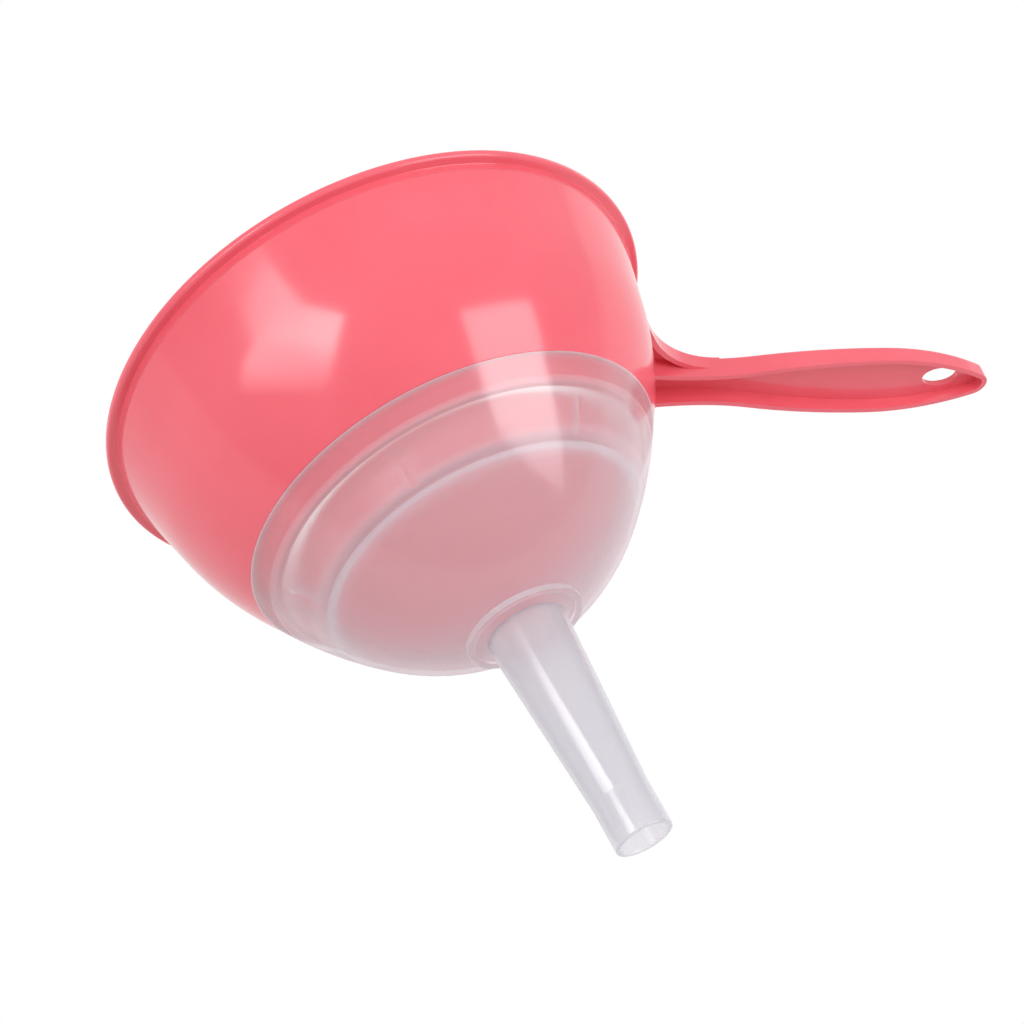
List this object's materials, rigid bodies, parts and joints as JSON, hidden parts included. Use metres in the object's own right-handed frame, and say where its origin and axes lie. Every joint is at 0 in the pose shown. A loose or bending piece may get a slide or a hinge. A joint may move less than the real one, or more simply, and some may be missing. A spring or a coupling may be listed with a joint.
{
  "type": "canning funnel",
  "caption": "Deep round funnel with a lipped rim, a hollow side handle with a hang hole, a loose strainer basket and a translucent push-on spout cap.",
  "frame": {"origin": "centre of the spout's mouth, on the funnel's axis", "axes": "+Z along the funnel's axis from the spout to the rim, +X from the axis towards the handle"},
  "size_m": [0.2789, 0.17, 0.166],
  "materials": {
    "pink_plastic": "gloss",
    "strainer_plastic": "satin",
    "milky_plastic": "satin"
  },
  "bodies": {
    "cap": {"spout_cap": "milky_plastic", "spout": "milky_plastic"},
    "bowl": {"bowl": "pink_plastic", "handle": "pink_plastic"},
    "strainer": {"strainer": "strainer_plastic"}
  },
  "joints": [
    {"name": "bowl_lift", "type": "slide", "parent": "cap", "child": "bowl", "axis": [0, 0, 1], "range_m": [0, 0.06]},
    {"name": "strainer_lift", "type": "slide", "parent": "cap", "child": "strainer", "axis": [0, 0, 1], "range_m": [0, 0.09]}
  ]
}
